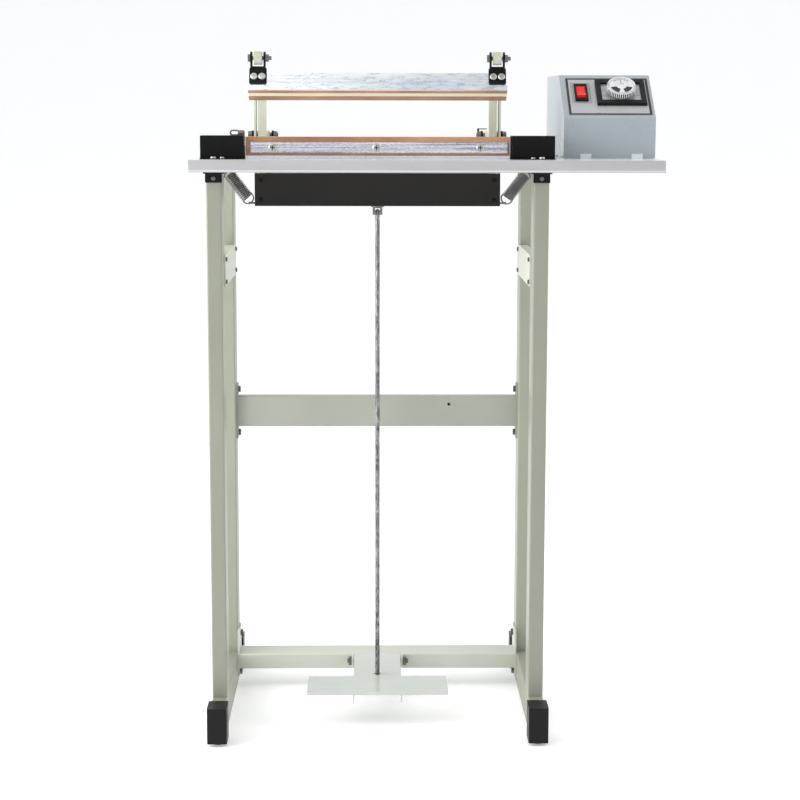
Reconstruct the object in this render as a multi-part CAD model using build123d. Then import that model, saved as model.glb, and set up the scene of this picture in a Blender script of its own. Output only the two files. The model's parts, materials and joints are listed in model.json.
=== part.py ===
from build123d import *
import math
import os

# Foot-pedal impulse heat sealer: a jaw that swings down on a table, on a stand with a pedal.
# Millimetres. X to the operator's right, Y away from the operator, Z up.
# The origin is on the floor, under the centre of the whole machine.

# ---------------------------------------------------------------- driving dimensions
# Table
TABLE_LENGTH = 700.0
TABLE_FRONT = -183.0
TABLE_BACK = 217.0
TABLE_TOP = 880.0
TABLE_THICK = 18.0
BAND_THICK = 0.8
TABLE_UNDER = TABLE_TOP - TABLE_THICK

# Stand
MID_X = -72.5
STAND_WIDTH = 509.0
TUBE_X = 23.0
TUBE_Y = 50.0
TUBE_WALL = 1.5
TUBE_CORNER = 2.5
END_PLATE = 3.0
FRONT_POST_Y = -128.0
REAR_POST_Y = 127.0
RAIL_BOTTOM = 7.5
RAIL_TOP = 57.5
RAIL_END_Y = 216.0
CAP_FACE_Y = 220.0
CAP_REACH = 42.0
CAP_WIDTH = 30.0
CAP_BOTTOM = 5.0
CAP_TOP = 60.0
LEG_PLATE = 3.0
BRACE_BOTTOM = 688.0
BRACE_HEIGHT = 48.0
BRACE_SHEET = 2.0
BRACE_LIP = 12.0
BRACE_BOLT_R = 2.0
MID_BAR_BOTTOM = 436.0
MID_BAR_HEIGHT = 50.0
MID_BAR_DEPTH = 25.0
CROSS_FRONT = 86.0
CROSS_BACK = 141.0
CROSS_BOTTOM = 32.5
BOLT_R = 3.0

# Swing: the jaw, its arms and the yoke turn about this line
PIVOT_Y = 33.0
PIVOT_Z = 913.0
SWING = 26.0
PIN_R = 4.0
PIN_PLAY = 0.05
HUB_R = 7.0
HUB_WIDTH = 22.0
ARM_SPAN = 377.0
ARM_WIDTH = 18.0
POST_WIDTH = 12.0
WEB = 3.0
POST_FRONT = -45.0
POST_BACK = -20.0
EAR_SPAN = 34.0
EAR_THICK = 3.0

# Jaws, drawn closed
JAW_GAP = 0.4
LOWER_JAW_LENGTH = 394.0
LOWER_JAW_FRONT = -126.0
LOWER_JAW_BACK = -90.0
LOWER_JAW_TOP = 912.8
TAPE = 0.4
UPPER_JAW_LENGTH = 388.0
UPPER_JAW_FRONT = -124.0
UPPER_JAW_BACK = -89.0
UPPER_JAW_HEIGHT = 28.0
PAD_FRONT = -113.0
PAD_BACK = -103.0
CLAMP_LENGTH = 382.0
CLAMP_BOTTOM = 889.0
CLAMP_TOP = 905.0
CLAMP_SCREW_PITCH = 154.6

# End covers over the heating ribbon's terminals
COVER_LENGTH = 64.0
COVER_WALL = 1.5
COVER_TOP = 914.5
COVER_FRONT = -134.0
COVER_BACK = -88.0

# Yoke, springs and pull rod
YOKE_BOTTOM = 806.0
YOKE_TOP = 856.0
YOKE_FRONT = -47.0
YOKE_BACK = -17.0
SPRING_WIRE_R = 1.0
SPRING_R = 10.0
SPRING_LOW = (-204.2, -33.0, 813.5)
SPRING_HIGH = (-227.5, -33.0, 853.6)
ROD_R = 3.5
ROD_Y = -34.0
ROD_PIVOT_Z = 797.5
ROD_WASHER_R = 8.5
ROD_ROOM_BELOW = 2.3

# Pedal
PEDAL_HINGE_Y = 72.0
PEDAL_HINGE_Z = 50.0
PEDAL_ARM_TOP = 59.0
PEDAL_SHEET = 2.0
PEDAL_WIDTH = 219.0
PEDAL_FRONT = -135.0
PEDAL_BACK = -53.0
ARM_SHEET = 1.5
PEDAL_ARM_WIDTH = 76.0
PEDAL_FLANGE = 18.0
PEDAL_PIN_R = 4.0

# Roller brackets on the upper jaw, drawn closed
ROLLER_SPAN = 358.0
ROLLER_R = 10.0
ROLLER_WIDTH = 12.5
ROLLER_Y = -131.0
ROLLER_Z = 962.0
AXLE_R = 3.0

# Control box
BOX_LEFT = 209.0
BOX_RIGHT = 348.0
BOX_FRONT = -86.0
BOX_BACK = 206.0
BOX_TOP = 1006.0
BOX_KNEE = 941.0
BOX_SLOPE_DEPTH = 89.0
BOX_WALL = 1.2
KNOB_X = 300.0
PLATE_X = 280.5
PLATE_UP = 54.0
PLATE_THICK = 0.8
PLATE_WIDTH = 126.5
PLATE_LENGTH = 94.0
KNOB_UP = 62.0
KNOB_R = 22.0
KNOB_HEIGHT = 10.5
BEZEL_UP = 61.0
BEZEL_WIDTH = 76.0
BEZEL_LENGTH = 62.0
WINDOW_WIDTH = 60.0
WINDOW_LENGTH = 44.0
SHAFT_R = 3.0
ROCKER_X = 239.0
ROCKER_UP = 62.0
ROCKER_TILT = 10.0
ROCKER_FRAME = (20.0, 42.0)
ROCKER_BODY = (17.0, 36.0)
ROCKER_CAVITY = (13.6, 32.0)
GLAND_X = 278.5
GLAND_Z = 900.0
VENT_X = (245.0, 312.0)
VENT_BOTTOM = 932.0
VENT_PITCH = 9.0

os.makedirs("parts", exist_ok=True)


# ---------------------------------------------------------------- small tools
def block(x, y, z):
    """Box between a pair of limits on each axis."""
    middle = [(a + b) / 2 for a, b in (x, y, z)]
    size = [b - a for a, b in (x, y, z)]
    return Pos(*middle) * Box(*size)


def bar_x(x, y, z, radius):
    return Pos((x[0] + x[1]) / 2, y, z) * Rot(0, 90, 0) * Cylinder(radius, x[1] - x[0])


def bar_y(x, y, z, radius):
    return Pos(x, (y[0] + y[1]) / 2, z) * Rot(90, 0, 0) * Cylinder(radius, y[1] - y[0])


def bar_z(x, y, z, radius):
    return Pos(x, y, (z[0] + z[1]) / 2) * Cylinder(radius, z[1] - z[0])


def side_plate(outline, x):
    """Flat plate whose outline lies in Y and Z, between two X limits."""
    face = Plane.YZ.offset(x[0]) * make_face(Polyline(*outline, close=True))
    return extrude(face, amount=x[1] - x[0])


def aimed(point, direction):
    """Placement whose local +Z looks along a direction."""
    across = (1, 0, 0) if abs(direction[0]) < 0.9 else (0, 1, 0)
    return Plane(origin=point, x_dir=across, z_dir=direction)


def pan_screw(point, direction, head_r, shank_r, shank_length):
    """Cross-slot pan head standing on a point, shank behind it."""
    head_height = head_r * 0.55
    head = Pos(0, 0, head_height / 2) * Cylinder(head_r, head_height)
    head = fillet(head.edges().sort_by(Axis.Z)[-1:], head_height * 0.6)
    slot = Pos(0, 0, head_height) * Box(head_r * 1.2, head_r * 0.22, head_height * 0.8)
    head = head - slot - Rot(0, 0, 90) * slot
    shank = Pos(0, 0, -shank_length / 2) * Cylinder(shank_r, shank_length)
    return aimed(point, direction) * (head + shank)


def hexagon(width, height):
    return extrude(RegularPolygon(width / 2, 6, major_radius=False), amount=height)


def hex_bolt(point, direction, size, grip, tail=3.0):
    """Bolt head on a point, shank through the grip, nut on the far side: two solids."""
    width = size * 3.2
    head = hexagon(width, size * 1.3)
    shank = Pos(0, 0, -(grip + size * 1.6 + tail) / 2) * Cylinder(size, grip + size * 1.6 + tail)
    nut = Pos(0, 0, -grip - size * 1.6) * hexagon(width, size * 1.6) - shank
    place = aimed(point, direction)
    return [place * (head + shank), place * nut]


def opened(shape):
    """Turn a shape drawn with the jaws closed to the open rest position."""
    return shape.rotate(Axis((0, PIVOT_Y, PIVOT_Z), (1, 0, 0)), -SWING)


def mirrored(shape):
    """The same piece on the other side of the stand's middle plane."""
    return mirror(shape, about=Plane.YZ.offset(MID_X))


def solids_of(items):
    found = []
    for item in items:
        found.extend(item.solids())
    return found


def save(node, *items):
    """Write one node. Several items stay separate solids in it."""
    solids = solids_of(items)
    shape = solids[0] if len(solids) == 1 else Compound(children=solids)
    export_step(shape, f"parts/{node}.step")


# ---------------------------------------------------------------- places worked out once
HALF_STAND = STAND_WIDTH / 2
OUTER_LEFT = MID_X - HALF_STAND
INNER_LEFT = OUTER_LEFT + TUBE_X
INNER_RIGHT = MID_X + HALF_STAND - TUBE_X
POST_X = (OUTER_LEFT, INNER_LEFT)
POST_TOP = TABLE_UNDER - LEG_PLATE
HALF_ARMS = ARM_SPAN / 2
ARM_X = (MID_X - HALF_ARMS, MID_X - HALF_ARMS + ARM_WIDTH)
ARM_MID_X = sum(ARM_X) / 2
SLOPE = math.degrees(math.atan2(BOX_TOP - BOX_KNEE, BOX_SLOPE_DEPTH))
SLOPE_COS = math.cos(math.radians(SLOPE))
SLOPE_SIN = math.sin(math.radians(SLOPE))
WORK_FACE = LOWER_JAW_TOP + JAW_GAP


# ---------------------------------------------------------------- table
def table():
    half = TABLE_LENGTH / 2
    outer = block((-half, half), (TABLE_FRONT, TABLE_BACK), (TABLE_UNDER, TABLE_TOP))
    inner = block(
        (-half + BAND_THICK, half - BAND_THICK),
        (TABLE_FRONT + BAND_THICK, TABLE_BACK - BAND_THICK),
        (TABLE_UNDER, TABLE_TOP),
    )
    slot = block((ARM_X[0] - 4, ARM_X[1] + 4), (-50, 8), (TABLE_UNDER - 1, TABLE_TOP + 1))
    board = inner - slot - mirrored(slot)
    return board, outer - inner


# ---------------------------------------------------------------- stand
def tube(x, y, z, along, overrun=1.0):
    """Rectangular steel tube with rounded corners. The bore runs past its ends, or stops short."""
    bore = [(low + TUBE_WALL, high - TUBE_WALL) for low, high in (x, y, z)]
    length = (x, y, z)[along]
    bore[along] = (length[0] - overrun, length[1] + overrun)
    axis = (Axis.X, Axis.Y, Axis.Z)[along]
    outer = fillet(block(x, y, z).edges().filter_by(axis), TUBE_CORNER)
    return outer - fillet(block(*bore).edges().filter_by(axis), TUBE_CORNER - TUBE_WALL)


def post(mid_y):
    return tube(POST_X, (mid_y - TUBE_Y / 2, mid_y + TUBE_Y / 2), (RAIL_TOP, POST_TOP), 2)


def bottom_rail():
    return tube(POST_X, (-RAIL_END_Y, RAIL_END_Y), (RAIL_BOTTOM, RAIL_TOP), 1)


def rail_cap():
    """Moulded cap over the front end of a rail, with the foot under it."""
    mid = sum(POST_X) / 2
    body = block(
        (mid - CAP_WIDTH / 2, mid + CAP_WIDTH / 2),
        (-CAP_FACE_Y, -CAP_FACE_Y + CAP_REACH),
        (CAP_BOTTOM, CAP_TOP),
    )
    body = fillet(body.edges().filter_by(Axis.Z), 2.0)
    body = body - block(POST_X, (-RAIL_END_Y, -CAP_FACE_Y + CAP_REACH + 1), (RAIL_BOTTOM, RAIL_TOP))
    foot = Pos(mid, -CAP_FACE_Y + 21, CAP_BOTTOM / 2) * Cone(8.0, 9.5, CAP_BOTTOM)
    return body + foot


def leg_bracket(mid_y, toward):
    """Flanged plate on a leg's top, screwed to the leg and to the table."""
    face = mid_y + toward * TUBE_Y / 2
    outer = face + toward * 2.0
    plate = block(
        (POST_X[0] - 4, POST_X[1] + 4),
        sorted((mid_y - toward * TUBE_Y / 2, outer)),
        (POST_TOP, TABLE_UNDER),
    )
    lip = block((POST_X[0] - 1, POST_X[1] + 1), sorted((face, outer)), (POST_TOP - 13, POST_TOP))
    screw = pan_screw((sum(POST_X) / 2, outer, POST_TOP - 7), (0, toward, 0), 3.2, 2.0, 6.0)
    return plate + lip, screw


def side_brace():
    """Folded sheet strap on the legs' inner faces, its lips turned outward between the legs."""
    front_leg, rear_leg = FRONT_POST_Y + TUBE_Y / 2, REAR_POST_Y - TUBE_Y / 2
    span = (front_leg - 12, rear_leg + 12)
    lip_span = (front_leg + 1, rear_leg - 1)
    top = BRACE_BOTTOM + BRACE_HEIGHT
    face = INNER_LEFT + BRACE_SHEET
    strap = block((INNER_LEFT, face), span, (BRACE_BOTTOM, top))
    for low in (BRACE_BOTTOM, top - BRACE_SHEET):
        strap = strap + block((INNER_LEFT - BRACE_LIP, face), lip_span, (low, low + BRACE_SHEET))
    bolts = []
    for y in (span[0] + 6, span[1] - 6):
        for z in (BRACE_BOTTOM + 7, top - 7):
            bolts += hex_bolt((face, y, z), (1, 0, 0), BRACE_BOLT_R, BRACE_SHEET + TUBE_WALL)
    return strap, bolts


def mid_bar():
    """Tube between the rear legs, welded to a bolting plate at each end."""
    y = (REAR_POST_Y - MID_BAR_DEPTH / 2, REAR_POST_Y + MID_BAR_DEPTH / 2)
    z = (MID_BAR_BOTTOM, MID_BAR_BOTTOM + MID_BAR_HEIGHT)
    bar = tube((INNER_LEFT, INNER_RIGHT), y, z, 0, -END_PLATE)
    plate = block((INNER_LEFT, INNER_LEFT + END_PLATE), y, (z[0] - 20, z[1] + 20))
    hole = bar_y(MID_X + 118, (y[0] - 1, y[0] + 3), z[0] + 37, 2.5)
    left_bolts = []
    for level in (z[0] - 11, z[1] + 11):
        place = (INNER_LEFT + END_PLATE, REAR_POST_Y, level)
        left_bolts += hex_bolt(place, (1, 0, 0), BOLT_R, END_PLATE + TUBE_WALL)
    return bar + plate + mirrored(plate) - hole, left_bolts


def lower_cross_rail():
    """Flat tube between the two bottom rails, carrying the pedal's hinge ears."""
    y = (CROSS_FRONT, CROSS_BACK)
    rail = tube((INNER_LEFT, INNER_RIGHT), y, (CROSS_BOTTOM, RAIL_TOP), 0, -END_PLATE)
    plate = block((INNER_LEFT, INNER_LEFT + END_PLATE), y, (CROSS_BOTTOM - 12, 97))
    ear_root = CROSS_FRONT + TUBE_CORNER
    ear_outline = [(ear_root, 36), (ear_root, 57), (PEDAL_HINGE_Y, 59), (62, 56), (62, 44), (70, 38)]
    ear_inner = MID_X - PEDAL_ARM_WIDTH / 2 - 1.0
    ear = side_plate(ear_outline, (ear_inner - 3, ear_inner))
    pin_hole = bar_x((ear_inner - 4, ear_inner + 1), PEDAL_HINGE_Y, PEDAL_HINGE_Z, PEDAL_PIN_R)
    ear = ear - pin_hole
    bolts = []
    for y, z in ((REAR_POST_Y, 84), (CROSS_FRONT + 10, 26.5)):
        bolts += hex_bolt((INNER_LEFT + END_PLATE, y, z), (1, 0, 0), BOLT_R, END_PLATE + TUBE_WALL)
    return rail + plate + mirrored(plate) + ear + mirrored(ear), bolts


def drilled(part, bolts):
    """Clear a part where the bolts pass through it."""
    for bolt in bolts:
        part = part - bolt
    return part


def stand():
    front, rear, rail = post(FRONT_POST_Y), post(REAR_POST_Y), bottom_rail()
    brace, brace_bolts = side_brace()
    bar, bar_bolts = mid_bar()
    cross, cross_bolts = lower_cross_rail()
    front_bracket, front_screw = leg_bracket(FRONT_POST_Y, -1)
    rear_bracket, rear_screw = leg_bracket(REAR_POST_Y, 1)

    left_bolts = brace_bolts + bar_bolts + cross_bolts
    right_bolts = [mirrored(bolt) for bolt in left_bolts]
    front = drilled(front, brace_bolts + [front_screw])
    rear = drilled(rear, left_bolts + [rear_screw])
    rail = drilled(rail, cross_bolts)
    brace = drilled(brace, brace_bolts)
    bar = drilled(bar, bar_bolts + [mirrored(bolt) for bolt in bar_bolts])
    cross = drilled(cross, cross_bolts + [mirrored(bolt) for bolt in cross_bolts])
    front_bracket = front_bracket - front_screw
    rear_bracket = rear_bracket - rear_screw

    front_cap = rail_cap()
    rear_cap = mirror(front_cap, about=Plane.XZ)
    save("left_front_leg", front)
    save("right_front_leg", mirrored(front))
    save("left_rear_leg", rear)
    save("right_rear_leg", mirrored(rear))
    save("bottom_rails", rail, mirrored(rail))
    save("rail_end_caps", front_cap, rear_cap, mirrored(front_cap), mirrored(rear_cap))
    save("side_braces", brace, mirrored(brace))
    save("mid_cross_bar", bar)
    save("lower_cross_rail", cross)
    brackets = [front_bracket, rear_bracket]
    screws = [front_screw, rear_screw]
    save("leg_top_brackets", *brackets, *[mirrored(b) for b in brackets])
    save("frame_bolts", *left_bolts, *right_bolts, *screws, *[mirrored(s) for s in screws])


# ---------------------------------------------------------------- lower jaw
def lower_jaw():
    half = LOWER_JAW_LENGTH / 2
    x = (MID_X - half, MID_X + half)
    base_top = TABLE_TOP + 5
    front, back, top = LOWER_JAW_FRONT + TAPE, LOWER_JAW_BACK - TAPE, LOWER_JAW_TOP - TAPE
    ribbon_y = (LOWER_JAW_FRONT + LOWER_JAW_BACK) / 2
    bar = block(x, (LOWER_JAW_FRONT - 3, LOWER_JAW_BACK + 3), (TABLE_TOP, base_top))
    bar = bar + block(x, (front, back), (base_top, top))
    ribbon_x = (MID_X - half - 8, MID_X + half + 14)
    ribbon = block(ribbon_x, (ribbon_y - 1.5, ribbon_y + 1.5), (top - 0.3, top))
    bar = bar - ribbon
    tape = block(x, (LOWER_JAW_FRONT, LOWER_JAW_BACK), (base_top, LOWER_JAW_TOP))
    tape = tape - block((x[0] - 1, x[1] + 1), (front, back), (base_top - 1, top))

    strip_y = (LOWER_JAW_FRONT - 3, LOWER_JAW_FRONT)
    strip_x = (MID_X + 2 - CLAMP_LENGTH / 2, MID_X + 2 + CLAMP_LENGTH / 2)
    strip = block(strip_x, strip_y, (CLAMP_BOTTOM, CLAMP_TOP))
    for level in (CLAMP_BOTTOM + 3.2, CLAMP_TOP - 3.2):
        groove_y = (strip_y[0] - 1, strip_y[0] + 0.5)
        strip = strip - block((strip_x[0] - 1, strip_x[1] + 1), groove_y, (level - 0.6, level + 0.6))
    middle = (CLAMP_BOTTOM + CLAMP_TOP) / 2
    screws = [
        pan_screw((MID_X - 2 + step * CLAMP_SCREW_PITCH, strip_y[0], middle), (0, -1, 0), 6.0, 2.0, 14.0)
        for step in (-1, 0, 1)
    ]
    strip, tape, bar = (drilled(piece, screws) for piece in (strip, tape, bar))
    save("lower_jaw_bar", bar)
    save("lower_tape", tape)
    save("clamp_strip", strip)
    save("clamp_screws", *screws)
    save("heating_ribbon", ribbon)
    return ribbon_y, top


def ribbon_ends(ribbon_y, ribbon_top):
    """Terminals under the end covers, and the tensioner that keeps the hot ribbon straight."""
    half = LOWER_JAW_LENGTH / 2
    base_y = (ribbon_y - 10, ribbon_y + 10)
    left_x = (MID_X - half - 24, MID_X - half - 2)
    right_x = (MID_X + half + 8, MID_X + half + 32)
    left_base = block(left_x, base_y, (TABLE_TOP, 900))
    right_base = block(right_x, base_y, (TABLE_TOP, ribbon_top - 0.3))
    clamp = block((right_x[0], right_x[0] + 6), (ribbon_y - 5, ribbon_y + 5), (ribbon_top, ribbon_top + 0.5))
    lever_x = (left_x[1] - 8, left_x[1])
    foot = block((left_x[0] + 2, left_x[1] - 1), (ribbon_y - 6, ribbon_y + 6), (900, 903))
    lever = block(lever_x, (ribbon_y - 4, ribbon_y + 4), (903, 920.5))
    bow = extrude(SlotOverall(15, 9) - SlotOverall(10.4, 4.4), amount=3, both=True)
    bow = Pos(left_x[1] - 15, ribbon_y, 918.5) * Rot(90, 0, 0) * bow
    knuckle = bar_x((lever_x[0] - 1, lever_x[1] - 1), ribbon_y, 918, 4.5)
    ribbon_slot_x = (lever_x[0] - 1, lever_x[1] + 1)
    ribbon_slot = block(ribbon_slot_x, (ribbon_y - 1.5, ribbon_y + 1.5), (ribbon_top - 0.3, ribbon_top))
    tensioner = foot + lever + bow + knuckle - ribbon_slot
    save("terminal_blocks", left_base, right_base, clamp)
    save("ribbon_tensioner", tensioner)


def end_cover(outer_x, notch):
    """Sheet cover with a foot in front and at its inner end, open below and toward the jaw."""
    x = (outer_x, outer_x + COVER_LENGTH)
    shell = block(x, (COVER_FRONT, COVER_BACK), (TABLE_TOP, COVER_TOP))
    shell = shell - block(
        (x[0] + COVER_WALL, x[1] - COVER_WALL),
        (COVER_FRONT + COVER_WALL, COVER_BACK - COVER_WALL),
        (TABLE_TOP - 1, COVER_TOP - COVER_WALL),
    )
    shell = shell - block((x[1] - 3, x[1] + 1), (-120, -96), (TABLE_TOP - 1, 913))
    shell = shell + block(x, (COVER_FRONT - 11, COVER_FRONT), (TABLE_TOP, TABLE_TOP + COVER_WALL))
    shell = shell + block((x[1], x[1] + 2.4), (COVER_FRONT, -120), (TABLE_TOP, TABLE_TOP + 3))
    if notch:
        shell = shell - block((x[1] - 26, x[1] + 1), (-117, -99), (COVER_TOP - 5, COVER_TOP + 1))
    screws = [
        pan_screw((x[0] + along, COVER_FRONT - out, TABLE_TOP + COVER_WALL), (0, 0, 1), head, 1.8, 9.0)
        for along, out, head in ((20.0, 6.0, 4.5), (33.0, 5.0, 3.5))
    ]
    return shell, screws


# ---------------------------------------------------------------- pivots and switch
def pivot_bracket():
    """Clevis on the table: two ears on a base plate, either side of a swing arm."""
    half = EAR_SPAN / 2
    base = block((ARM_MID_X - half, ARM_MID_X + half), (14, 62), (TABLE_TOP, TABLE_TOP + 3))
    outline = [(16, TABLE_TOP), (50, TABLE_TOP), (PIVOT_Y + HUB_R, PIVOT_Z), (PIVOT_Y - HUB_R, PIVOT_Z)]
    bracket = base
    for left in (ARM_MID_X - half, ARM_MID_X + half - EAR_THICK):
        x = (left, left + EAR_THICK)
        bracket = bracket + side_plate(outline, x) + bar_x(x, PIVOT_Y, PIVOT_Z, HUB_R)
    bracket = bracket - bar_x((ARM_MID_X - half - 1, ARM_MID_X + half + 1), PIVOT_Y, PIVOT_Z, PIN_R)
    screws = [
        pan_screw((x, 56, TABLE_TOP + 3), (0, 0, 1), 4.0, 2.0, 12.0)
        for x in (ARM_MID_X - 9, ARM_MID_X + 9)
    ]
    return drilled(bracket, screws), screws


def pivot_pin():
    """Pin through a clevis and a swing arm, with a head and a retaining nut."""
    half = EAR_SPAN / 2
    pin = bar_x((ARM_MID_X - half - 6, ARM_MID_X + half + 7), PIVOT_Y, PIVOT_Z, PIN_R)
    head = bar_x((ARM_MID_X - half - 6, ARM_MID_X - half), PIVOT_Y, PIVOT_Z, 6.0)
    nut = aimed((ARM_MID_X + half, PIVOT_Y, PIVOT_Z), (1, 0, 0)) * hexagon(12.0, 5.0)
    return pin + head, nut - pin


def microswitch():
    """Snap switch on the right clevis, pressed by the arm as the jaws close."""
    ear_x = 2 * MID_X - ARM_MID_X - EAR_SPAN / 2
    body = block((ear_x - 6.5, ear_x), (34, 50), (884, 898))
    stem = block((ear_x - 5, ear_x - 2), (44, 48), (898, 922))
    lever = block((ear_x - 5, ear_x + 10), (44, 48), (922, 923.5))
    return body + stem + lever


# ---------------------------------------------------------------- swing frame
def open_point(y, z):
    """Where a point drawn with the jaws closed lies at rest."""
    turn = math.radians(-SWING)
    dy, dz = y - PIVOT_Y, z - PIVOT_Z
    return (
        PIVOT_Y + dy * math.cos(turn) - dz * math.sin(turn),
        PIVOT_Z + dy * math.sin(turn) + dz * math.cos(turn),
    )


def swing_arm():
    """Post and outer web joined at the yoke, the pivot hub and the jaw."""
    jaw_low = open_point(UPPER_JAW_BACK, WORK_FACE + 6)
    jaw_high = open_point(UPPER_JAW_BACK, WORK_FACE + UPPER_JAW_HEIGHT - 3)
    outline = [
        (POST_FRONT, YOKE_BOTTOM + 2),
        (POST_BACK, YOKE_BOTTOM + 2),
        (POST_BACK, PIVOT_Z - 10),
        (PIVOT_Y, PIVOT_Z - HUB_R),
        (PIVOT_Y, PIVOT_Z + HUB_R),
        (POST_BACK, PIVOT_Z + HUB_R),
        (POST_BACK, 978),
        (-32, 990),
        jaw_high,
        jaw_low,
        (POST_FRONT, 969),
    ]
    post_x = (ARM_X[1] - POST_WIDTH, ARM_X[1])
    arm = side_plate(outline, post_x) + side_plate(outline, (ARM_X[0], ARM_X[0] + WEB))
    tie_x = (ARM_X[0], ARM_X[1])
    arm = arm + block(tie_x, (POST_FRONT, POST_BACK), (YOKE_BOTTOM + 2, YOKE_TOP - 4))
    tie = [jaw_low, jaw_high, (-50, 990), (-52, 969)]
    arm = arm + side_plate(tie, tie_x)
    arm = arm + bar_x((ARM_MID_X - HUB_WIDTH / 2, ARM_MID_X + HUB_WIDTH / 2), PIVOT_Y, PIVOT_Z, HUB_R)
    bore = bar_x((ARM_X[0] - 9, ARM_X[1] + 9), PIVOT_Y, PIVOT_Z, PIN_R + PIN_PLAY)
    return arm - bore


def yoke():
    half = ARM_SPAN / 2
    inner = (ARM_X[1] + 0.5, 2 * MID_X - ARM_X[1] - 0.5)
    web = block((MID_X - half, MID_X + half), (YOKE_FRONT, POST_FRONT), (YOKE_BOTTOM, YOKE_TOP))
    low = block(inner, (POST_FRONT, YOKE_BACK), (YOKE_BOTTOM, YOKE_BOTTOM + 2))
    high = block(inner, (POST_FRONT, YOKE_BACK), (YOKE_TOP - 2, YOKE_TOP))
    screws = [
        pan_screw((ARM_MID_X, YOKE_FRONT, level), (0, -1, 0), 3.5, 2.0, 12.0)
        for level in (YOKE_BOTTOM + 10, YOKE_TOP - 10)
    ]
    return web + low + high, screws


def spring_axis():
    """Lower and upper ends of the left spring's coil."""
    low = (MID_X + SPRING_LOW[0], SPRING_LOW[1], SPRING_LOW[2])
    high = (MID_X + SPRING_HIGH[0], SPRING_HIGH[1], SPRING_HIGH[2])
    return Vector(*low), Vector(*high)


def spring():
    """Close-wound coil drawn as its tube."""
    low, high = spring_axis()
    along = high - low
    place = Plane(origin=low, x_dir=(0, 1, 0), z_dir=along.normalized())
    tube = Cylinder(SPRING_R, along.length) - Cylinder(SPRING_R - 2 * SPRING_WIRE_R, along.length + 2)
    return place * Pos(0, 0, along.length / 2) * tube


def spring_hook():
    """Wire hook out of the yoke's lower corner, holding the spring's lower eye."""
    edge = MID_X - HALF_ARMS
    stem = bar_x((edge - 8, edge), SPRING_LOW[1], YOKE_BOTTOM + 4, 1.5)
    return stem + bar_x((edge - 10, edge - 8), SPRING_LOW[1], YOKE_BOTTOM + 4, 2.4)


def spring_anchor():
    """Plate screwed under the table, with a pin for the spring's upper eye."""
    x = MID_X + SPRING_HIGH[0] - 4.5
    plate = block((x - 13, x + 9), (SPRING_HIGH[1] - 12, SPRING_HIGH[1] + 12), (TABLE_UNDER - 2, TABLE_UNDER))
    return plate + bar_y(x, (SPRING_HIGH[1] - 7, SPRING_HIGH[1] + 7), TABLE_UNDER - 3.4, 1.8)


def upper_jaw():
    """Grooved extrusion with a silicone strip and tape on its working face, drawn closed."""
    half = UPPER_JAW_LENGTH / 2
    x = (MID_X - half, MID_X + half)
    top = WORK_FACE + UPPER_JAW_HEIGHT
    bar = block(x, (UPPER_JAW_FRONT, UPPER_JAW_BACK), (WORK_FACE + TAPE, top))
    hollow = (UPPER_JAW_FRONT + 4, UPPER_JAW_BACK - 4)
    bar = bar - block((x[0] - 1, x[1] + 1), hollow, (WORK_FACE + 7, top - 4))
    for level in range(4):
        z = WORK_FACE + 6.5 + level * 5.2
        bar = bar - block((x[0] - 1, x[1] + 1), (UPPER_JAW_FRONT - 1, UPPER_JAW_FRONT + 0.8), (z, z + 1.6))
    for end in (x[0] - 1, x[1] - 4):
        bar = bar - block((end, end + 5), (UPPER_JAW_FRONT - 1, UPPER_JAW_BACK + 1), (WORK_FACE + 9, top + 1))
    strip = block(x, (PAD_FRONT, PAD_BACK), (WORK_FACE, WORK_FACE + 3))
    bar = bar - strip
    tape_front = block(x, (UPPER_JAW_FRONT + 4, PAD_FRONT), (WORK_FACE, WORK_FACE + TAPE))
    tape_back = block(x, (PAD_BACK, UPPER_JAW_BACK), (WORK_FACE, WORK_FACE + TAPE))
    return bar, strip, [tape_front, tape_back]


def roller_bracket(mid):
    """Plate on the upper jaw's front, with two ears that hold the roller, drawn closed."""
    face = (UPPER_JAW_FRONT - 3, UPPER_JAW_FRONT)
    plate = block((mid - 13, mid + 13), face, (922.5, 948))
    plate = fillet(plate.edges().filter_by(Axis.Y), 2.0)
    bracket = plate + block((mid - 11.4, mid + 11.4), face, (946, 950.5))
    outline = [(face[1], 942), (face[0], 942), (ROLLER_Y - 9.5, ROLLER_Z), (ROLLER_Y + 9.5, ROLLER_Z)]
    for x in ((mid - 11.4, mid - 8.4), (mid + 8.4, mid + 11.4)):
        bracket = bracket + side_plate(outline, x) + bar_x(x, ROLLER_Y, ROLLER_Z, 9.5)
    screws = [
        pan_screw((mid + side * 6.0, face[0], 933.5), (0, -1, 0), 5.4, 2.0, 6.8)
        for side in (-1, 1)
    ]
    axle = hex_bolt((mid - 11.4, ROLLER_Y, ROLLER_Z), (-1, 0, 0), AXLE_R, 22.8, 4.0)
    bracket = drilled(drilled(bracket, screws), axle)
    return bracket, screws, axle


def roller(mid):
    x = (mid - ROLLER_WIDTH / 2, mid + ROLLER_WIDTH / 2)
    wheel = bar_x(x, ROLLER_Y, ROLLER_Z, ROLLER_R)
    wheel = fillet(wheel.edges().filter_by(GeomType.CIRCLE), 0.8)
    return wheel - bar_x((x[0] - 1, x[1] + 1), ROLLER_Y, ROLLER_Z, AXLE_R + PIN_PLAY)


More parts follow.
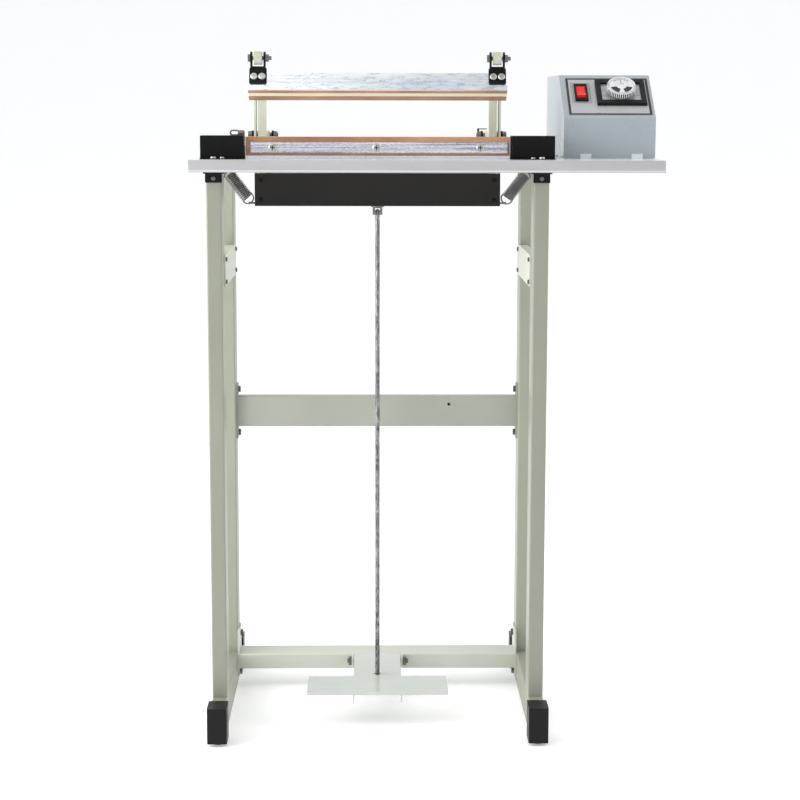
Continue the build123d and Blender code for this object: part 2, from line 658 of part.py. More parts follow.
def rod_clevis():
    """Washer and slotted nut under the yoke, with the cross pin the pull rod turns on."""
    hang = ROD_PIVOT_Z
    washer = bar_z(MID_X, ROD_Y, (YOKE_BOTTOM - 2, YOKE_BOTTOM), 10.0)
    nut = Pos(MID_X, ROD_Y, YOKE_BOTTOM - 14) * hexagon(13.0, 12.0)
    slot = block((MID_X - ROD_R - 0.4, MID_X + ROD_R + 0.4), (ROD_Y - 12, ROD_Y + 12), (hang - 10, hang + 5))
    pin = bar_x((MID_X - 7.0, MID_X + 7.0), ROD_Y, hang, 1.5)
    stud = bar_z(MID_X, ROD_Y, (YOKE_BOTTOM - 2, YOKE_BOTTOM + 8), 3.0)
    top_nut = Pos(MID_X, ROD_Y, YOKE_BOTTOM + 2) * hexagon(11.0, 5.0) - stud
    body = washer + nut - slot + stud
    return [body - pin, pin, top_nut], stud


def swing_frame():
    arm = swing_arm()
    channel, yoke_screws = yoke()
    other_screws = [mirrored(screw) for screw in yoke_screws]
    channel = drilled(channel, yoke_screws + other_screws)
    arm = drilled(arm, yoke_screws)
    clevis, stud = rod_clevis()
    channel = channel - stud

    bar, strip, tapes = upper_jaw()
    brackets, bracket_screws, axles, rollers = [], [], [], []
    for side in (-1, 1):
        mid = MID_X + side * ROLLER_SPAN / 2
        bracket, screws, axle = roller_bracket(mid)
        brackets.append(opened(bracket))
        bracket_screws += [opened(screw) for screw in screws]
        axles += [opened(piece) for piece in axle]
        rollers.append(opened(roller(mid)))
        bar = drilled(bar, screws)
    hook, coil = spring_hook(), spring()
    save("upper_jaw_bar", opened(bar))
    save("silicone_strip", opened(strip))
    save("upper_tape", *[opened(tape) for tape in tapes])
    save("left_swing_arm", arm)
    save("right_swing_arm", mirrored(arm))
    save("yoke_channel", channel)
    save("yoke_screws", *yoke_screws, *other_screws)
    save("spring_hooks", hook, mirrored(hook))
    save("left_return_spring", coil)
    save("right_return_spring", mirrored(coil))
    save("roller_brackets", *brackets)
    save("roller_bracket_screws", *bracket_screws)
    save("roller_axles", *axles)
    save("left_roller", rollers[0])
    save("right_roller", rollers[1])
    save("rod_clevis", *clevis)


# ---------------------------------------------------------------- pull rod and pedal
def pull_rod():
    end = PEDAL_ARM_TOP - 22
    rod = bar_z(MID_X, ROD_Y, (end, ROD_PIVOT_Z), ROD_R) + Pos(MID_X, ROD_Y, ROD_PIVOT_Z) * Sphere(ROD_R)
    rod = rod - bar_x((MID_X - 6, MID_X + 6), ROD_Y, ROD_PIVOT_Z, 1.5 + PIN_PLAY)
    washer_low = PEDAL_ARM_TOP - ARM_SHEET - ROD_ROOM_BELOW - 1.5
    washer = bar_z(MID_X, ROD_Y, (washer_low, washer_low + 1.5), ROD_WASHER_R) - rod
    nut = Pos(MID_X, ROD_Y, washer_low - 6) * hexagon(12.0, 6.0) - rod
    save("pull_rod", rod)
    save("pull_rod_nuts", washer, nut)


def pedal():
    half = PEDAL_ARM_WIDTH / 2
    arm_x = (MID_X - half, MID_X + half)
    y = (PEDAL_FRONT + 3, PEDAL_HINGE_Y + 9)
    low = PEDAL_ARM_TOP - PEDAL_FLANGE
    arm = block(arm_x, y, (low, PEDAL_ARM_TOP))
    arm = arm - block(
        (arm_x[0] + ARM_SHEET, arm_x[1] - ARM_SHEET),
        (y[0] - 1, y[1] + 1),
        (low - 1, PEDAL_ARM_TOP - ARM_SHEET),
    )
    arm = arm - bar_x((arm_x[0] - 1, arm_x[1] + 1), PEDAL_HINGE_Y, PEDAL_HINGE_Z, PEDAL_PIN_R + PIN_PLAY)
    hole = bar_z(MID_X, ROD_Y, (PEDAL_ARM_TOP - 5, PEDAL_ARM_TOP + 5), 6.2)
    arm = arm - hole

    plate_x = (MID_X - PEDAL_WIDTH / 2, MID_X + PEDAL_WIDTH / 2)
    plate = block(plate_x, (PEDAL_FRONT, PEDAL_BACK), (PEDAL_ARM_TOP, PEDAL_ARM_TOP + PEDAL_SHEET))
    lip = block(plate_x, (PEDAL_FRONT, PEDAL_FRONT + PEDAL_SHEET), (PEDAL_ARM_TOP - 4, PEDAL_ARM_TOP))
    plate = plate + lip

    ear = half + 4.0
    pin = bar_x((MID_X - ear - 7, MID_X + ear + 9), PEDAL_HINGE_Y, PEDAL_HINGE_Z, PEDAL_PIN_R)
    head = aimed((MID_X - ear, PEDAL_HINGE_Y, PEDAL_HINGE_Z), (-1, 0, 0)) * hexagon(13.0, 5.0)
    nut = aimed((MID_X + ear, PEDAL_HINGE_Y, PEDAL_HINGE_Z), (1, 0, 0)) * hexagon(13.0, 6.0)
    save("pedal_arm", arm)
    save("pedal_plate", plate)
    save("pedal_hinge_pin", pin + head, nut - pin)


# ---------------------------------------------------------------- control box
def on_panel(x, up, out):
    """Placement on the sloping panel: local X across, Y up the slope, Z out of it."""
    y = BOX_FRONT + up * SLOPE_COS - out * SLOPE_SIN
    z = BOX_KNEE + up * SLOPE_SIN + out * SLOPE_COS
    return Plane(origin=(x, y, z), x_dir=(1, 0, 0), z_dir=(0, -SLOPE_SIN, SLOPE_COS))


def panel_block(x, up, width, length, out):
    return on_panel(x, up, (out[0] + out[1]) / 2) * Box(width, length, out[1] - out[0])


def panel_disc(x, up, radius, out):
    return on_panel(x, up, (out[0] + out[1]) / 2) * Cylinder(radius, out[1] - out[0])


def box_cover():
    outline = [
        (BOX_FRONT, TABLE_TOP + 1.5),
        (BOX_FRONT, BOX_KNEE),
        (BOX_FRONT + BOX_SLOPE_DEPTH, BOX_TOP),
        (BOX_BACK, BOX_TOP),
        (BOX_BACK, TABLE_TOP + 1.5),
    ]
    sketch = make_face(Polyline(*outline, close=True))
    corners = sketch.vertices().sort_by(Axis.Y)[2:]
    sketch = fillet(corners, 3.0)
    outer = extrude(Plane.YZ.offset(BOX_LEFT) * sketch, amount=BOX_RIGHT - BOX_LEFT)
    inside = offset(sketch, -BOX_WALL)
    inner = extrude(Plane.YZ.offset(BOX_LEFT + BOX_WALL) * inside, amount=BOX_RIGHT - BOX_LEFT - 2 * BOX_WALL)
    mouth = block(
        (BOX_LEFT + BOX_WALL, BOX_RIGHT - BOX_WALL),
        (BOX_FRONT + BOX_WALL, BOX_BACK - BOX_WALL),
        (TABLE_TOP, TABLE_TOP + 20),
    )
    shell = outer - inner - mouth
    shell = shell - panel_block(ROCKER_X, ROCKER_UP, *ROCKER_BODY, (-4, 4))
    shell = shell - panel_disc(KNOB_X, KNOB_UP, SHAFT_R + 2, (-4, 4))
    shell = shell - bar_y(GLAND_X, (BOX_BACK - 3, BOX_BACK + 3), GLAND_Z, 8.0)
    for row in range(6):
        level = VENT_BOTTOM + row * VENT_PITCH
        shell = shell - block(VENT_X, (BOX_BACK - 3, BOX_BACK + 3), (level, level + 3))
    return shell


def box_base():
    plate = block(
        (BOX_LEFT + BOX_WALL, BOX_RIGHT - BOX_WALL),
        (BOX_FRONT + BOX_WALL, BOX_BACK - BOX_WALL),
        (TABLE_TOP, TABLE_TOP + 1.5),
    )
    for x in (242.5, 320.5):
        across, face = (x - 8.5, x + 8.5), BOX_FRONT - 1.5
        plate = plate + block(across, (face, BOX_FRONT + 3), (TABLE_TOP, TABLE_TOP + 1.5))
        plate = plate + block(across, (face, BOX_FRONT), (TABLE_TOP, TABLE_TOP + 7.5))
    screws = []
    for y in (-30.0, 160.0):
        plate = plate + block((BOX_LEFT - 14, BOX_LEFT + 3), (y - 9, y + 9), (TABLE_TOP, TABLE_TOP + 1.5))
        screws.append(pan_screw((BOX_LEFT - 7, y, TABLE_TOP + 1.5), (0, 0, 1), 4.0, 1.8, 10.0))
    return drilled(plate, screws), screws


def rocker_switch():
    flange = panel_block(ROCKER_X, ROCKER_UP, *ROCKER_FRAME, (PLATE_THICK, PLATE_THICK + 3))
    flange = fillet(flange.edges().group_by(Axis.X)[0], 0.8)
    housing = flange + panel_block(ROCKER_X, ROCKER_UP, *ROCKER_BODY, (-16, PLATE_THICK + 1))
    housing = housing - panel_block(ROCKER_X, ROCKER_UP, *ROCKER_CAVITY, (-13, 8))
    outline = [(-14.6, 4.6), (0, 2.0), (14.6, 4.6), (13.4, -4), (6, -9), (-6, -9), (-13.4, -4)]
    face = make_face(Polyline(*outline, close=True))
    button = extrude(Plane.YZ * face, amount=ROCKER_CAVITY[0] / 2 - 0.3, both=True)
    button = Rot(-ROCKER_TILT, 0, 0) * button
    axle = Rot(0, 90, 0) * Cylinder(1.2, ROCKER_CAVITY[0] + 2.0)
    socket = Rot(0, 90, 0) * Cylinder(1.2 + PIN_PLAY, ROCKER_CAVITY[0] + 2.2)
    place = on_panel(ROCKER_X, ROCKER_UP, PLATE_THICK)
    return housing - place * socket, place * (button + axle)


def timer():
    out = PLATE_THICK
    bezel = panel_block(KNOB_X, BEZEL_UP, BEZEL_WIDTH, BEZEL_LENGTH, (out, out + 5))
    bezel = chamfer(bezel.faces().sort_by(bezel_normal())[-1].edges(), 1.2)
    bezel = bezel - panel_block(KNOB_X, BEZEL_UP, WINDOW_WIDTH, WINDOW_LENGTH, (out - 1, out + 6))
    dial = panel_block(KNOB_X, BEZEL_UP, WINDOW_WIDTH, WINDOW_LENGTH, (out, out + 1.5))
    dial = dial - panel_disc(KNOB_X, KNOB_UP, SHAFT_R + 1, (out - 1, out + 3))
    base = out + 5.5
    skirt = panel_disc(KNOB_X, KNOB_UP, KNOB_R, (base, base + KNOB_HEIGHT))
    skirt = skirt - panel_disc(KNOB_X, KNOB_UP, KNOB_R - 1.8, (base + 4, base + KNOB_HEIGHT + 1))
    skirt = skirt - panel_disc(KNOB_X, KNOB_UP, SHAFT_R, (base - 1, base + 4))
    centre = panel_disc(KNOB_X, KNOB_UP, 13.0, (base + 4, base + KNOB_HEIGHT - 1))
    shaft = panel_disc(KNOB_X, KNOB_UP, SHAFT_R, (-12, base + 5))
    unit = panel_block(KNOB_X, KNOB_UP, 52.0, 50.0, (-40, -BOX_WALL - 0.3))
    unit = unit - panel_disc(KNOB_X, KNOB_UP, SHAFT_R + PIN_PLAY, (-13, 1))
    return bezel, dial, skirt, centre + shaft, unit


def bezel_normal():
    return Axis((0, 0, 0), (0, -SLOPE_SIN, SLOPE_COS))


def control_box():
    cover, (base, base_screws) = box_cover(), box_base()
    plate = panel_block(PLATE_X, PLATE_UP, PLATE_WIDTH, PLATE_LENGTH, (0, PLATE_THICK))
    plate = plate - panel_block(ROCKER_X, ROCKER_UP, *ROCKER_BODY, (-1, 3))
    plate = plate - panel_disc(KNOB_X, KNOB_UP, SHAFT_R + 2, (-1, 3))
    housing, button = rocker_switch()
    bezel, dial, knob, insert, unit = timer()
    core = block((240, 316), (70, 136), (TABLE_TOP + 1.5, TABLE_TOP + 66))
    window = block((256, 300), (60, 146), (TABLE_TOP + 16, TABLE_TOP + 52))
    core = core - window
    winding = block((257, 299), (58, 148), (TABLE_TOP + 17, TABLE_TOP + 51))
    gland = bar_y(GLAND_X, (BOX_BACK - 6, BOX_BACK + 9), GLAND_Z, 8.0)
    gland = gland + aimed((GLAND_X, BOX_BACK, GLAND_Z), (0, 1, 0)) * hexagon(20.0, 5.0)
    gland = gland - bar_y(GLAND_X, (BOX_BACK - 7, BOX_BACK + 10), GLAND_Z, 4.0)
    save("control_box_cover", cover)
    save("control_box_base", base)
    save("control_faceplate", plate)
    save("rocker_housing", housing)
    save("rocker_button", button)
    save("timer_bezel", bezel)
    save("timer_dial_plate", dial)
    save("timer_unit", unit)
    save("timer_knob", knob)
    save("knob_insert", insert)
    save("transformer", core, winding)
    save("mains_gland", gland)
    return base_screws


# ---------------------------------------------------------------- everything
def build():
    base_screws = control_box()
    bracket, bracket_screws = pivot_bracket()
    pin = pivot_pin()
    left_cover, left_screws = end_cover(MID_X - 264.0, True)
    right_cover, right_screws = end_cover(MID_X - 264.0, False)
    right_cover = mirrored(right_cover)
    right_screws = [mirrored(screw) for screw in right_screws]
    cover_screws = left_screws + right_screws
    bracket_screws = bracket_screws + [mirrored(screw) for screw in bracket_screws]
    board, band = table()
    board = drilled(board, cover_screws + bracket_screws + base_screws)
    save("tabletop", board)
    save("table_edge_band", band)
    stand()
    ribbon_y, ribbon_top = lower_jaw()
    ribbon_ends(ribbon_y, ribbon_top)
    save("left_end_cover", drilled(left_cover, left_screws))
    save("right_end_cover", drilled(right_cover, right_screws))
    save("table_screws", *cover_screws, *bracket_screws, *base_screws)
    save("pivot_brackets", bracket, mirrored(bracket))
    save("pivot_pins", *pin, *[mirrored(piece) for piece in pin])
    save("microswitch", microswitch())
    anchor = spring_anchor()
    save("spring_anchors", anchor, mirrored(anchor))
    swing_frame()
    pull_rod()
    pedal()


build()
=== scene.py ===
import json
import math

import bmesh
import bpy
from mathutils import Matrix, Vector


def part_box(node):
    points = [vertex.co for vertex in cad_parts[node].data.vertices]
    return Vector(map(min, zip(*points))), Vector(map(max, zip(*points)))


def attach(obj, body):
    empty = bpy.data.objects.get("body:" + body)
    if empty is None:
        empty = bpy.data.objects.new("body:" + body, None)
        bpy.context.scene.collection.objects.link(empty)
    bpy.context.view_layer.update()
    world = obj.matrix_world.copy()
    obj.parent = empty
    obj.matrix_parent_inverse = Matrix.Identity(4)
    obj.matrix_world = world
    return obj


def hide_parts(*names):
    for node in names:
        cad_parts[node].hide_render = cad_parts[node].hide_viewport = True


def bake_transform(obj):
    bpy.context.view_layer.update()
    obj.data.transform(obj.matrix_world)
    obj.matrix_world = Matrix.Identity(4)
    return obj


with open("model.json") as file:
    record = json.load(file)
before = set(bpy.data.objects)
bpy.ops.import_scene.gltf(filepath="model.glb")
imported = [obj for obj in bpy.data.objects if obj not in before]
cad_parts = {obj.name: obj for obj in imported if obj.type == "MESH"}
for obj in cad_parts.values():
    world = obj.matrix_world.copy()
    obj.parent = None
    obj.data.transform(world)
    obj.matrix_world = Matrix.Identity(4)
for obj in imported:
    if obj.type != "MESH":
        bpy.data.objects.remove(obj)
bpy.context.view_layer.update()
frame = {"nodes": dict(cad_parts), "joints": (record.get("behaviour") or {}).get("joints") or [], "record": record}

# Foot-pedal impulse heat sealer. Metres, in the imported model's own frame.

# ---------------------------------------------------------------- camera
# Lens and sensor in millimetres, place in metres, turns in degrees.
LENS = 87.912
SENSOR = 36.0
FAR_CLIP = 50
CAMERA_AT = (-0.0856, -3.0612, 0.9630)
CAMERA_DOWN = 8.647
CAMERA_RIGHT = 0.916
CAMERA_ROLL = 0.111


def camera():
    data = bpy.data.cameras.new("camera")
    data.sensor_width = SENSOR
    data.lens = LENS
    data.clip_end = FAR_CLIP
    obj = bpy.data.objects.new("camera", data)
    bpy.context.scene.collection.objects.link(obj)
    turn = Matrix.Rotation(math.radians(-CAMERA_RIGHT), 4, "Z")
    tilt = Matrix.Rotation(math.radians(90 - CAMERA_DOWN), 4, "X")
    roll = Matrix.Rotation(math.radians(CAMERA_ROLL), 4, "Z")
    obj.matrix_world = Matrix.Translation(CAMERA_AT) @ turn @ tilt @ roll
    bpy.context.scene.camera = obj


# ---------------------------------------------------------------- material tools
class Shader:
    """A principled material with short calls for the nodes used here."""

    def __init__(self, name, colour, rough, metal=0.0):
        self.mat = bpy.data.materials.new(name)
        self.mat.use_nodes = True
        self.tree = self.mat.node_tree
        self.bsdf = self.tree.nodes["Principled BSDF"]
        self.bsdf.inputs["Base Color"].default_value = (*colour, 1)
        self.bsdf.inputs["Roughness"].default_value = rough
        self.bsdf.inputs["Metallic"].default_value = metal
        self.colour = colour
        self.rough = rough
        self.where = self.node("ShaderNodeTexCoord").outputs["Object"]
        self.bumps = None

    def node(self, kind, **settings):
        made = self.tree.nodes.new(kind)
        for key, value in settings.items():
            setattr(made, key, value)
        return made

    def link(self, out, into):
        self.tree.links.new(out, into)

    def scaled(self, scale):
        """Object coordinates stretched on each axis."""
        mapping = self.node("ShaderNodeMapping")
        mapping.inputs["Scale"].default_value = scale
        self.link(self.where, mapping.inputs["Vector"])
        return mapping.outputs["Vector"]

    def noise(self, scale, stretch=(1, 1, 1), detail=4.0, rough=0.55):
        made = self.node("ShaderNodeTexNoise")
        made.inputs["Scale"].default_value = scale
        made.inputs["Detail"].default_value = detail
        made.inputs["Roughness"].default_value = rough
        self.link(self.scaled(stretch), made.inputs["Vector"])
        return made.outputs["Fac"]

    def ramp(self, fac, low, high, low_colour, high_colour):
        made = self.node("ShaderNodeValToRGB")
        made.color_ramp.elements[0].position = low
        made.color_ramp.elements[1].position = high
        made.color_ramp.elements[0].color = (*low_colour, 1)
        made.color_ramp.elements[1].color = (*high_colour, 1)
        self.link(fac, made.inputs["Fac"])
        return made.outputs["Color"]

    def grey(self, fac, low, high, low_value, high_value):
        return self.ramp(fac, low, high, (low_value,) * 3, (high_value,) * 3)

    def mix(self, fac, first, second):
        made = self.node("ShaderNodeMix", data_type="RGBA")
        self.link(fac, made.inputs["Factor"])
        for source, socket in ((first, made.inputs[6]), (second, made.inputs[7])):
            if isinstance(source, tuple):
                socket.default_value = (*source, 1)
            else:
                self.link(source, socket)
        return made.outputs[2]

    def math(self, operation, *values):
        made = self.node("ShaderNodeMath", operation=operation)
        for index, value in enumerate(values):
            if isinstance(value, (int, float)):
                made.inputs[index].default_value = value
            else:
                self.link(value, made.inputs[index])
        return made.outputs[0]

    def height_of(self, vector):
        """The Z part of a position or a normal."""
        made = self.node("ShaderNodeSeparateXYZ")
        self.link(vector, made.inputs[0])
        return made.outputs["Z"]

    def colours(self, out):
        self.link(out, self.bsdf.inputs["Base Color"])

    def roughness(self, out):
        self.link(out, self.bsdf.inputs["Roughness"])

    def bump(self, height, strength, distance):
        made = self.node("ShaderNodeBump")
        made.inputs["Strength"].default_value = strength
        made.inputs["Distance"].default_value = distance
        self.link(height, made.inputs["Height"])
        if self.bumps is not None:
            self.link(self.bumps, made.inputs["Normal"])
        self.bumps = made.outputs["Normal"]
        self.link(self.bumps, self.bsdf.inputs["Normal"])

    def vary(self, amount, scale, stretch=(1, 1, 1)):
        """Slow lightness change over the surface, and a matching change of gloss."""
        dark = tuple(channel * (1 - amount) for channel in self.colour)
        light = tuple(min(1.0, channel * (1 + amount * 0.6)) for channel in self.colour)
        fac = self.noise(scale, stretch)
        self.colours(self.ramp(fac, 0.3, 0.7, dark, light))
        self.roughness(self.grey(fac, 0.3, 0.7, self.rough * 0.85, min(1.0, self.rough * 1.2)))


def paint(name, colour, rough, grain=900.0, peel=0.06):
    """Powder coat: orange peel, with a faint change of tone."""
    made = Shader(name, colour, rough)
    made.vary(0.05, 9.0)
    made.bump(made.noise(grain, detail=2.0), peel, 0.0004)
    made.bump(made.noise(60.0, detail=2.0), 0.05, 0.0008)
    made.bsdf.inputs["Specular IOR Level"].default_value = 0.45
    return made


def plastic(name, colour, rough, grain=2200.0, depth=0.12):
    made = Shader(name, colour, rough)
    made.vary(0.08, 40.0)
    made.bump(made.noise(grain, detail=2.0), depth, 0.0002)
    return made


def metal(name, colour, rough, scratch=(1, 1, 1), grain=500.0, tone=0.12):
    made = Shader(name, colour, rough, 1.0)
    made.vary(tone, 70.0, scratch)
    made.bump(made.noise(grain, scratch, detail=6.0), 0.08, 0.0002)
    return made


# ---------------------------------------------------------------- materials
# The painted highlight along the table's edge band, and the grooves round the knob's skirt.
HIGHLIGHT_UP = 0.0022
HIGHLIGHT_HALF = 0.0009
FLUTES = 44
FLUTE_DEPTH = 0.0009


def joint(name):
    return next(entry for entry in frame["joints"] if entry["name"] == name)


def laminate():
    """White melamine faces over a chipboard core, which shows on the bare cut edges."""
    made = Shader("laminate", (0.84, 0.84, 0.845), 0.22)
    grain = made.noise(420.0, (1, 1, 2.2), 8.0)
    chips = made.ramp(grain, 0.35, 0.66, (0.30, 0.19, 0.09), (0.62, 0.45, 0.26))
    top = made.ramp(made.noise(6.0), 0.3, 0.7, (0.82, 0.82, 0.825), (0.87, 0.87, 0.87))
    upright = made.height_of(made.node("ShaderNodeTexCoord").outputs["Normal"])
    is_face = made.math("GREATER_THAN", made.math("ABSOLUTE", upright), 0.5)
    made.colours(made.mix(is_face, chips, top))
    made.roughness(made.grey(made.noise(14.0), 0.3, 0.7, 0.18, 0.3))
    made.bump(made.noise(1400.0, detail=2.0), 0.04, 0.0002)
    made.bsdf.inputs["Coat Weight"].default_value = 0.25
    made.bsdf.inputs["Coat Roughness"].default_value = 0.12
    return made


def edge_band():
    """Satin grey strip with a painted highlight: one bright line near its lower edge."""
    made = Shader("edge_band", (0.42, 0.415, 0.42), 0.36)
    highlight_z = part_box("table_edge_band")[0].z + HIGHLIGHT_UP
    away = made.math("ABSOLUTE", made.math("SUBTRACT", made.height_of(made.where), highlight_z))
    band = made.noise(5.0, (1, 1, 8))
    tone = made.ramp(band, 0.3, 0.7, (0.385, 0.375, 0.385), (0.45, 0.44, 0.45))
    # Painted highlight: a light grey line along the band, near its lower edge.
    made.colours(made.mix(made.math("LESS_THAN", away, HIGHLIGHT_HALF), tone, (0.62, 0.62, 0.62)))
    made.bump(made.noise(900.0, (1, 1, 1), 2.0), 0.05, 0.0003)
    return made


# The legs, rear legs, mid cross bar and braces carry one frame paint. It is set to a different lightness on each
# part, as painted light and shade.
def leg_paint():
    return paint("leg_paint", (0.275, 0.285, 0.225), 0.40)


# Painted light: the frame paint made lighter for the rear legs.
def rear_leg_paint_relit():
    return paint("rear_leg_paint_relit", (0.33, 0.345, 0.27), 0.42)


# Painted light and shade: the frame paint at its own lightness for the mid cross bar.
def bar_paint_relit():
    return paint("bar_paint_relit", (0.36, 0.375, 0.315), 0.42)


def brace_paint():
    return paint("brace_paint", (0.56, 0.575, 0.50), 0.42)


def arm_paint():
    return paint("arm_paint", (0.72, 0.745, 0.59), 0.38)


def pedal_paint():
    return paint("pedal_paint", (0.52, 0.56, 0.50), 0.2)


def box_paint():
    return paint("box_paint", (0.37, 0.415, 0.44), 0.3, 1300.0, 0.05)


def black_paint():
    made = paint("black_paint", (0.0045, 0.0045, 0.005), 0.4, 1500.0, 0.08)
    made.bsdf.inputs["Specular IOR Level"].default_value = 0.16
    return made


def yoke_paint():
    made = paint("yoke_paint", (0.012, 0.0108, 0.0098), 0.42, 1100.0, 0.1)
    made.bsdf.inputs["Specular IOR Level"].default_value = 0.25
    return made


def black_plastic():
    made = plastic("black_plastic", (0.006, 0.006, 0.0063), 0.42)
    made.bsdf.inputs["Specular IOR Level"].default_value = 0.2
    return made


def zinc_steel():
    return metal("zinc_steel", (0.60, 0.585, 0.55), 0.32)


def dark_bolts():
    return metal("dark_bolts", (0.17, 0.165, 0.16), 0.42)


def jaw_aluminium():
    """Anodised extrusion: long draw lines, pale blue cloudy patches and small bright scuffs."""
    made = Shader("jaw_aluminium", (0.88, 0.90, 0.93), 0.28, 1.0)
    lines = made.noise(170.0, (0.012, 1, 1), 5.0, 0.6)
    cloud = made.noise(14.0, (0.6, 1, 1), 5.0)
    scuff = made.noise(240.0, (0.22, 1, 1), 6.0, 0.7)
    blend = made.math("ADD", made.math("MULTIPLY", lines, 0.48), made.math("MULTIPLY", cloud, 0.42))
    blend = made.math("ADD", blend, made.math("MULTIPLY", scuff, 0.10))
    made.colours(made.ramp(blend, 0.40, 0.58, (0.80, 0.87, 0.95), (1.0, 1.0, 1.0)))
    made.roughness(made.grey(scuff, 0.35, 0.65, 0.22, 0.42))
    made.bump(lines, 0.16, 0.0003)
    made.bump(scuff, 0.06, 0.0002)
    return made


def clamp_aluminium():
    """Drawn strip with bright and dark draw lines, and a few pits."""
    made = Shader("clamp_aluminium", (0.72, 0.74, 0.79), 0.3, 1.0)
    lines = made.noise(420.0, (0.012, 1, 1), 8.0, 0.6)
    pits = made.noise(520.0, (0.35, 1, 1), 8.0, 0.75)
    both = made.math("ADD", made.math("MULTIPLY", lines, 0.55), made.math("MULTIPLY", pits, 0.45))
    made.colours(made.ramp(both, 0.42, 0.56, (0.33, 0.37, 0.47), (0.98, 0.98, 1.0)))
    made.roughness(made.grey(lines, 0.35, 0.65, 0.2, 0.42))
    made.bump(lines, 0.2, 0.0002)
    made.bump(pits, 0.2, 0.0002)
    return made


def ptfe_tape():
    """Glass cloth coated in PTFE: a fine plain weave under a slick, slightly rippled surface."""
    made = Shader("ptfe_tape", (0.36, 0.15, 0.065), 0.33)
    weave = []
    for turned in (0, 90):
        mapping = made.node("ShaderNodeMapping")
        mapping.inputs["Rotation"].default_value = (0, math.radians(turned / 2), math.radians(turned))
        made.link(made.where, mapping.inputs["Vector"])
        wave = made.node("ShaderNodeTexWave", wave_type="BANDS", bands_direction="X")
        made.link(mapping.outputs["Vector"], wave.inputs["Vector"])
        wave.inputs["Scale"].default_value = 420.0
        weave.append(wave.outputs["Fac"])
    threads = made.math("MULTIPLY", weave[0], weave[1])
    tone = made.noise(35.0, (0.4, 1, 1), 5.0)
    made.colours(made.ramp(tone, 0.3, 0.72, (0.30, 0.125, 0.055), (0.55, 0.29, 0.16)))
    made.roughness(made.grey(threads, 0.0, 1.0, 0.3, 0.45))
    made.bump(threads, 0.25, 0.0002)
    made.bump(made.noise(45.0, (0.3, 1, 1), 3.0), 0.25, 0.001)
    made.bsdf.inputs["Coat Weight"].default_value = 0.3
    made.bsdf.inputs["Coat Roughness"].default_value = 0.2
    return made


def silicone():
    made = Shader("silicone", (0.90, 0.84, 0.64), 0.5)
    made.vary(0.05, 50.0, (0.3, 1, 1))
    made.bump(made.noise(600.0, (0.2, 1, 1), 3.0), 0.12, 0.0003)
    made.bsdf.inputs["Subsurface Weight"].default_value = 0.15
    made.bsdf.inputs["Subsurface Scale"].default_value = 0.004
    return made


def nichrome():
    return metal("nichrome", (0.45, 0.42, 0.38), 0.38, (0.05, 1, 1))


def phenolic():
    return plastic("phenolic", (0.20, 0.09, 0.04), 0.4)


def bright_steel():
    return metal("bright_steel", (0.82, 0.82, 0.80), 0.16, (1, 1, 1), 300.0, 0.08)


def spring_steel():
    """Oiled dark wire that glints."""
    return metal("spring_steel", (0.17, 0.168, 0.16), 0.16, (1, 1, 1), 700.0, 0.35)


def rod_steel():
    """Plated rod with dark and bright mottling along its length."""
    made = Shader("rod_steel", (0.4, 0.4, 0.39), 0.35, 1.0)
    patch = made.noise(210.0, (1, 1, 0.4), 6.0, 0.75)
    made.colours(made.ramp(patch, 0.38, 0.66, (0.08, 0.082, 0.08), (0.42, 0.425, 0.42)))
    made.roughness(made.grey(patch, 0.4, 0.6, 0.5, 0.3))
    made.bump(patch, 0.3, 0.0004)
    return made


def nylon():
    made = plastic("nylon", (0.50, 0.515, 0.40), 0.38, 900.0, 0.06)
    made.bsdf.inputs["Subsurface Weight"].default_value = 0.12
    made.bsdf.inputs["Subsurface Scale"].default_value = 0.003
    return made


def faceplate():
    made = Shader("faceplate", (0.44, 0.445, 0.46), 0.3, 0.15)
    made.vary(0.03, 160.0, (0.2, 1, 1))
    made.bump(made.noise(900.0, (0.1, 1, 1), 4.0), 0.04, 0.0001)
    return made


def dial_plate():
    made = Shader("dial_plate", (0.50, 0.505, 0.51), 0.3, 0.4)
    made.vary(0.06, 300.0, (0.2, 1, 1))
    made.bump(made.noise(900.0, (0.1, 1, 1), 4.0), 0.04, 0.0001)
    return made


def clear_plastic():
    """Clear moulding, white along its rim, with painted shade that darkens the grooves of its skirt."""
    made = Shader("clear_plastic", (0.97, 0.975, 0.98), 0.1)
    turn = joint("timer_turn")
    low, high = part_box("timer_knob")
    away = made.node("ShaderNodeVectorMath", operation="SUBTRACT")
    made.link(made.where, away.inputs[0])
    away.inputs[1].default_value = turn["pos_m"]
    across = made.node("ShaderNodeVectorMath", operation="CROSS_PRODUCT")
    made.link(away.outputs[0], across.inputs[0])
    across.inputs[1].default_value = turn["axis"]
    reach = made.node("ShaderNodeVectorMath", operation="LENGTH")
    made.link(across.outputs[0], reach.inputs[0])
    outer = (high[0] - low[0]) / 2
    # Painted shade: the deeper into a flute of the skirt, the darker, down to near black. Surfaces further in than
    # the flutes are left out.
    groove = made.math("SUBTRACT", outer - 0.0003, reach.outputs["Value"])
    depth = made.math("MULTIPLY", groove, 2000.0)
    inside = made.math("LESS_THAN", reach.outputs["Value"], outer - FLUTE_DEPTH - 0.0001)
    dark = made.math("MULTIPLY", made.math("SUBTRACT", 1.0, inside), depth)
    made.colours(made.ramp(dark, 0.05, 0.5, (0.97, 0.975, 0.98), (0.03, 0.03, 0.032)))
    made.roughness(made.grey(made.noise(120.0), 0.3, 0.7, 0.06, 0.16))
    made.bump(made.noise(500.0, detail=2.0), 0.03, 0.0002)
    made.bsdf.inputs["Transmission Weight"].default_value = 0.3
    made.bsdf.inputs["IOR"].default_value = 1.4
    return made


def silver_plastic():
    """Vacuum-plated plastic, with a faint change of tone and a fine grain."""
    made = Shader("silver_plastic", (0.86, 0.87, 0.88), 0.24, 1.0)
    made.vary(0.1, 500.0)
    made.bump(made.noise(1200.0, detail=3.0), 0.08, 0.0001)
    return made


